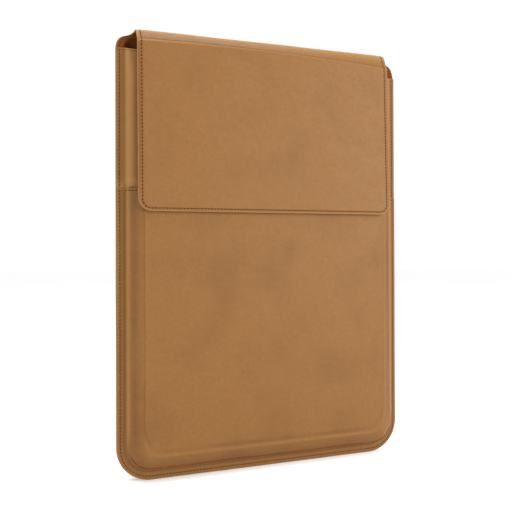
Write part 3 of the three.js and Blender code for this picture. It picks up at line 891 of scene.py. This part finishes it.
# ------------------------------------------------------------------ linings

def sheet_lining_inset(v):
    """How far the lining's side edge lies inside the leather's."""
    return 6.7 - 5.8 * smooth(FRONT_TOP - 1.5, FRONT_TOP + 1.5, v)


def sheet_lining_half(v):
    return sheet_half(v) - sheet_lining_inset(v)


def sheet_lining_gap(x, v):
    """Depth of the lining's outer face below the leather's outer face: more where a board lies between."""
    d = sheet_half(v) - np.abs(x)
    d = np.minimum(d, V_END - v)
    d = np.where(v < 60, body_inset(x, v), d)
    back_board = smooth(V_FOLD - 1.5, V_FOLD - 4.5, v) * smooth(10, 13, d)
    flap_board = smooth(V_FRONT + 1.2, V_FRONT + 3, v) * smooth(1.4, 3.2, d)
    return 0.97 + 1.03 * back_board + 0.8 * flap_board


def sheet_lining_surface(x, v):
    out = normals(sheet_surface, x, v, -1)
    return sheet_surface(x, v) - out * sheet_lining_gap(x, v)[..., None]


def flap_lining_surface(x, w):
    return sheet_lining_surface(x, V_END - w)


LINING_EDGE = edge_steps(LINING)
LINING_INSETS = LINING_EDGE + [0.6, 1.2, 2, 2.8, 3.6, 4.4, 5.4, 6.6, 8, 10, 13, 17]


def lining(name, grid, surface, facing, free_top, nodes):
    piece = thin_piece(name, grid, surface, None, LINING, facing, LINING_CLOTH, free_top)
    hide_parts(*nodes)
    return piece


def shifted(surface, low_edge):
    """The same surface with heights counted from a lining's lower edge."""
    return lambda x, v: surface(x, v + low_edge)


FOOT = 6.7
back_lining = lining(
    "back_lining_cloth",
    panel_grid(
        lambda v: sheet_lining_half(v + FOOT), HALF - FOOT, CORNER - FOOT,
        [r - FOOT for r in back_rows], LINING_INSETS, 5,
    ),
    shifted(sheet_lining_surface, FOOT), -1, None, ["back_lining", "shoulder_lining"],
)
across_fold(back_lining)
spine_lining = lining(
    "spine_lining_cloth",
    strip_grid(sheet_lining_half, spread(V_SHOULDER_SPLIT, V_SPINE_SPLIT, 0.35), LINING_INSETS[:12], 4),
    sheet_lining_surface, -1, None, ["spine_lining"],
)
across_back_crease(spine_lining)
FLAP_TURN = 0.9
flap_lining = lining(
    "flap_lining_cloth",
    panel_grid(
        lambda w: FLAP_HALF - FLAP_TURN + 0 * w, FLAP_HALF - FLAP_TURN, FLAP_CORNER - FLAP_TURN,
        [r - FLAP_TURN for r in FLAP_ROWS], LINING_INSETS[:14], 4,
    ),
    shifted(flap_lining_surface, FLAP_TURN), 1, None, ["flap_lining"],
)
across_front_crease(flap_lining)

# Distance in from the sleeve's edge, and depth in front of the seam plane, of the two front linings.
FRONT_LINING_WALL = [(0, 0.3), (7.4, 0.3), (8.4, 1.9), (9.8, 3.3), (12, 3.85), (300, 3.9)]
POCKET_LINING_WALL = [
    (0, 6.3), (8.2, 6.3), (9.6, 6.5), (12, 7.9), (15, 9.4), (18, 10.3), (20.5, 10.5), (300, 10.5),
]
FRONT_LINING_RIM = 1.05
POCKET_LINING_RIM = 0.85
FRONT_LINING_FOOT = 8.0
POCKET_LINING_FOOT = 8.8
FRONT_LINING_DROP = 1.2
POCKET_LINING_DROP = 1.0


def front_lining_surface(x, v):
    d = body_inset(x, v)
    wall = profile(d, FRONT_LINING_WALL, 0.4)
    rim = smooth(FRONT_TOP - 5.6, FRONT_TOP - 1.5, v) * smooth(9, 13, d)
    return np.stack([x, wall + FRONT_LINING_RIM * rim, v - mouth_drop(x, v)], -1)


def pocket_lining_surface(x, v):
    d = body_inset(x, v)
    wall = profile(d, POCKET_LINING_WALL, 0.5)
    rim = smooth(POCKET_TOP - 3.9, POCKET_TOP - 1.3, v) * smooth(9, 13, d)
    return np.stack([x, wall + POCKET_LINING_RIM * rim, v], -1)


def mouth_lining(name, foot, top, surface, nodes):
    rows = [top - d for d in LINING_EDGE] + spread(top - 0.6, top - 7, 0.6) + spread(top - 9, CORNER, 4)
    piece = lining(
        name,
        panel_grid(
            lambda v: HALF - foot + 0 * v, HALF - foot, CORNER - foot,
            [r - foot for r in rows], LINING_INSETS, 5,
        ),
        shifted(surface, foot), 1, top - foot, nodes,
    )
    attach(piece, "sleeve")
    return piece


front_lining = mouth_lining(
    "front_lining_cloth", FRONT_LINING_FOOT, FRONT_TOP - FRONT_LINING_DROP, front_lining_surface,
    ["front_lining"],
)
pocket_lining = mouth_lining(
    "pocket_lining_cloth", POCKET_LINING_FOOT, POCKET_TOP - POCKET_LINING_DROP, pocket_lining_surface,
    ["pocket_lining"],
)


# ------------------------------------------------------------------ sewing

def side_line(half_at, top, bottom, inset_at, side):
    return [(side * (half_at(v) - inset_at(v)), v) for v in spread(top, bottom, 0.6)]


def body_stitch(v):
    return STITCH_INSET


def sewn(piece, nodes, join):
    join(piece)
    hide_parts(*nodes)
    return piece


def on_sleeve(piece):
    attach(piece, "sleeve")


seam_low = seam_run(
    u_line(body_half, HALF, CORNER, POCKET_TOP - 0.5, STITCH_INSET), pocket_surface, pocket_relief, 1, 1
)
seam_high = [
    seam_run(
        side_line(body_half, FRONT_TOP - 1, POCKET_TOP + 1.2, body_stitch, s), front_surface, front_relief, 1, 1,
    )
    for s in (-1, 1)
]
sewn(sew("seam_stitches_front", [seam_low, *seam_high], THREAD_WAX), ["seam_needle_thread"], on_sleeve)
seam_back = seam_run(
    u_line(body_half, HALF, CORNER, FRONT_TOP - 1, STITCH_INSET), sheet_surface, sheet_relief, -1, 1
)
sewn(sew("seam_stitches_back", [seam_back], THREAD_WAX), ["seam_bobbin_thread"], on_sleeve)


def mouth_line(top, reach):
    return [(x, top - MOUTH_STITCH) for x in spread(-reach, reach, 1.0)]


pocket_mouth = seam_run(mouth_line(POCKET_TOP, HALF - 6.5), pocket_surface, pocket_relief, 1, 1)
sewn(sew("pocket_mouth_stitches", [pocket_mouth], THREAD_WAX), ["pocket_mouth_thread"], on_sleeve)


def both_faces(points, surface, relief, facing):
    """A stitched line on the leather and, below it, on the lining."""
    return [
        seam_run(points, surface, relief, facing, 1),
        seam_run(points, surface, None, facing, -1, LEATHER + LINING + 0.1),
    ]


for side, word in ((-1, "left"), (1, "right")):
    line = side_line(sheet_half, FRONT_TOP + 1.2, V_SHOULDER_SPLIT, sheet_stitch, side)
    runs = both_faces(line, sheet_surface, sheet_relief, -1)
    sewn(sew(f"shoulder_stitches_{word}", runs, THREAD_WAX), [f"shoulder_thread_{word}"], across_fold)
    line = side_line(sheet_half, V_SHOULDER_SPLIT, V_SPINE_SPLIT, sheet_stitch, side)
    runs = both_faces(line, sheet_surface, sheet_relief, -1)
    sewn(sew(f"spine_stitches_{word}", runs, THREAD_WAX), [f"spine_thread_{word}"], across_back_crease)
flap_line = [
    (x, w - (FLAP_STITCH - FLAP_END_STITCH) * float(smooth(14, 3, w)))
    for x, w in u_line(flap_half, FLAP_HALF, FLAP_CORNER, FLAP_TOP, FLAP_STITCH)
]
flap_runs = both_faces(flap_line, flap_surface, flap_relief, 1)
sewn(sew("flap_stitches", flap_runs, THREAD_WAX, FLAP_THREAD_RADIUS), ["flap_thread"], across_front_crease)


# ------------------------------------------------------------------ carried-over parts

for node, material in (
    ("back_board", BOARD_GREY), ("front_board", BOARD_GREY), ("pocket_board", BOARD_GREY),
    ("flap_board", BOARD_GREY), ("keeper_plate_left", STEEL_PLATE), ("keeper_plate_right", STEEL_PLATE),
    ("flap_magnet_left", STEEL_PLATE), ("flap_magnet_right", STEEL_PLATE),
):
    carried = frame["nodes"][node]
    if not carried.material_slots:
        carried.data.materials.append(material)
    for material_slot in carried.material_slots:
        material_slot.material = material


# ------------------------------------------------------------------ floor, light and camera

FLOOR_DROP = 0.0004
FLOOR_SIDES = 96
FLOOR_RINGS = [0.3, 0.6, 1, 1.6, 2.5, 4, 6, 9]


def pale_floor():
    """A wide round floor, fine near the object and coarse far away."""
    sides, reach = FLOOR_SIDES, FLOOR_RINGS
    vertices = [(0, 0, 0)]
    for r in reach:
        turns = [2 * math.pi * k / sides for k in range(sides)]
        vertices += [(r * math.cos(turn), r * math.sin(turn), 0) for turn in turns]
    faces = [(0, 1 + k, 1 + (k + 1) % sides) for k in range(sides)]
    for ring in range(len(reach) - 1):
        a = 1 + ring * sides
        faces += [
            (a + k, a + sides + k, a + sides + (k + 1) % sides, a + (k + 1) % sides) for k in range(sides)
        ]
    n = Nodes("studio_floor")
    tone = n.mix(n.ramp(n.noise(3, 2), 0.3, 0.7), rgb(250, 250, 250), rgb(252, 252, 252))
    pale = n.finish(Base_Color=tone, Roughness=0.9, Specular_IOR_Level=0.1)
    floor = make_object("floor", vertices, faces, pale)
    floor.location.z = -FLOOR_DROP


pale_floor()


def softbox(name, place, target, size, energy):
    lamp = bpy.data.lights.new(name, "AREA")
    lamp.shape = "RECTANGLE"
    lamp.size, lamp.size_y = size
    lamp.energy = energy
    holder = bpy.data.objects.new(name, lamp)
    holder.location = place
    holder.rotation_euler = (Vector(target) - Vector(place)).to_track_quat("-Z", "Y").to_euler()
    bpy.context.scene.collection.objects.link(holder)


MIDDLE = (0, 0, 0.18)
softbox("key_light", (0.85, -0.95, 0.52), MIDDLE, (0.8, 0.8), 20.5)
softbox("top_light", (-0.1, 0.05, 1.3), MIDDLE, (1.0, 0.8), 10)
softbox("left_light", (-1.2, -0.9, 0.4), MIDDLE, (0.8, 0.8), 5)

AIR_STRENGTH = 1.02
world = bpy.data.worlds.new("studio_air")
world.use_nodes = True
world.node_tree.nodes["Background"].inputs["Color"].default_value = (1, 1, 1, 1)
world.node_tree.nodes["Background"].inputs["Strength"].default_value = AIR_STRENGTH
bpy.context.scene.world = world
bpy.context.scene.view_settings.view_transform = "Standard"

# Fitted to the photo's view, in millimetres for the lens, degrees, and metres from the seam plane.
SENSOR = 36
LENS = 43.75
YAW, PITCH, ROLL = -20.695, 90.28, -0.18
CAMERA_X, CAMERA_Y, CAMERA_Z = -0.1887, -0.4752, 0.1681
camera_data = bpy.data.cameras.new("camera")
camera_data.sensor_width = SENSOR
camera_data.lens = LENS
camera_data.clip_start = 0.02
camera = bpy.data.objects.new("camera", camera_data)
turned = Matrix.Rotation(math.radians(YAW), 4, "Z") @ Matrix.Rotation(math.radians(PITCH), 4, "X")
turned = turned @ Matrix.Rotation(math.radians(ROLL), 4, "Z")
camera.matrix_world = Matrix.Translation((CAMERA_X, CAMERA_Y + SEAM_Y * MM, CAMERA_Z)) @ turned
bpy.context.scene.collection.objects.link(camera)
bpy.context.scene.camera = camera
